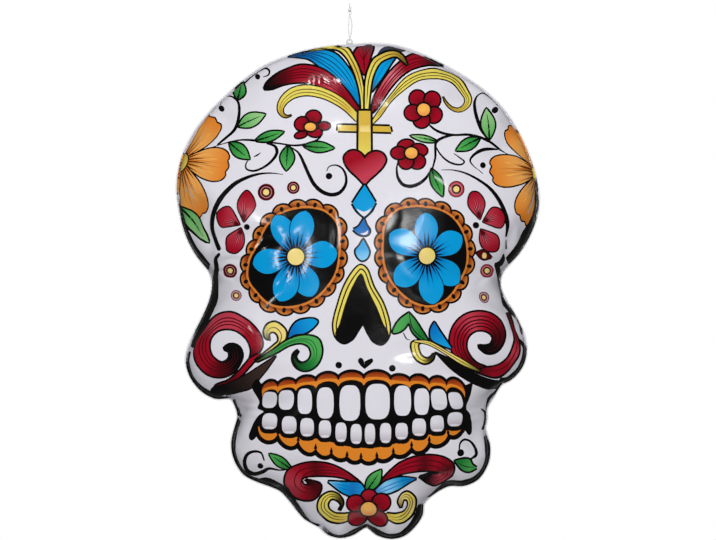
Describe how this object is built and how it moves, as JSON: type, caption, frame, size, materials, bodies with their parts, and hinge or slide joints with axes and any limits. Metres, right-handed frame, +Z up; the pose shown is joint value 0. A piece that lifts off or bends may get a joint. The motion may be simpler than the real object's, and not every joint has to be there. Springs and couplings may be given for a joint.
{
  "type": "inflatable hanging skull decoration",
  "caption": "Inflatable vinyl skull with sugar-skull print, two welded films, a thread loop through a clear tab for hanging, and a push-in air valve on the back.",
  "frame": {"origin": "top of the eye of thread, where a hook holds it", "axes": "+Z up along the thread, -Y out of the printed face, +X to the right as the face is seen"},
  "size_m": [0.415, 0.1724, 0.6111],
  "materials": {
    "clear_thread": "clear nylon thread",
    "clear_vinyl": "clear glossy vinyl film",
    "printed_vinyl": "glossy white vinyl film, printed",
    "valve_vinyl": "soft satin white vinyl moulding"
  },
  "bodies": {
    "hanger": {"hang_eye": "clear_thread"},
    "knot": {"cord_knot": "clear_thread"},
    "loop": {"hang_loop": "clear_thread"},
    "skull": {"front_panel": "printed_vinyl", "back_panel": "printed_vinyl", "hang_tab": "clear_vinyl", "valve_flange": "valve_vinyl", "valve_collar": "valve_vinyl"},
    "stem": {"valve_stem": "valve_vinyl", "valve_strap": "valve_vinyl"},
    "plug": {"valve_plug": "valve_vinyl"},
    "flap": {"valve_flap": "valve_vinyl"}
  },
  "joints": [
    {"name": "thread_swing", "type": "hinge", "parent": "hanger", "child": "knot", "pos_m": [0, 0, -0.00665], "axis": [1, 0, 0], "range_deg": [-60, 60], "deforming": ["hang_eye"]},
    {"name": "thread_twist", "type": "hinge", "parent": "knot", "child": "loop", "pos_m": [0, 0, -0.01095], "axis": [0, 0, 1], "range_deg": [-180, 180]},
    {"name": "skull_swing", "type": "hinge", "parent": "loop", "child": "skull", "pos_m": [0, 0, -0.0431], "axis": [0, 1, 0], "range_deg": [-50, 50]},
    {"name": "stem_pull", "type": "slide", "parent": "skull", "child": "stem", "axis": [0, 1, 0], "range_m": [0, 0.011], "deforming": ["valve_collar"]},
    {"name": "plug_pull", "type": "slide", "parent": "stem", "child": "plug", "axis": [0, 1, 0], "range_m": [0, 0.009], "deforming": ["valve_strap"]},
    {"name": "flap_open", "type": "hinge", "parent": "stem", "child": "flap", "pos_m": [0.009, 0.07155, -0.32367], "axis": [-1, 0, 0], "range_deg": [0, 70], "stiffness_Nm_per_rad": 0.00002}
  ]
}
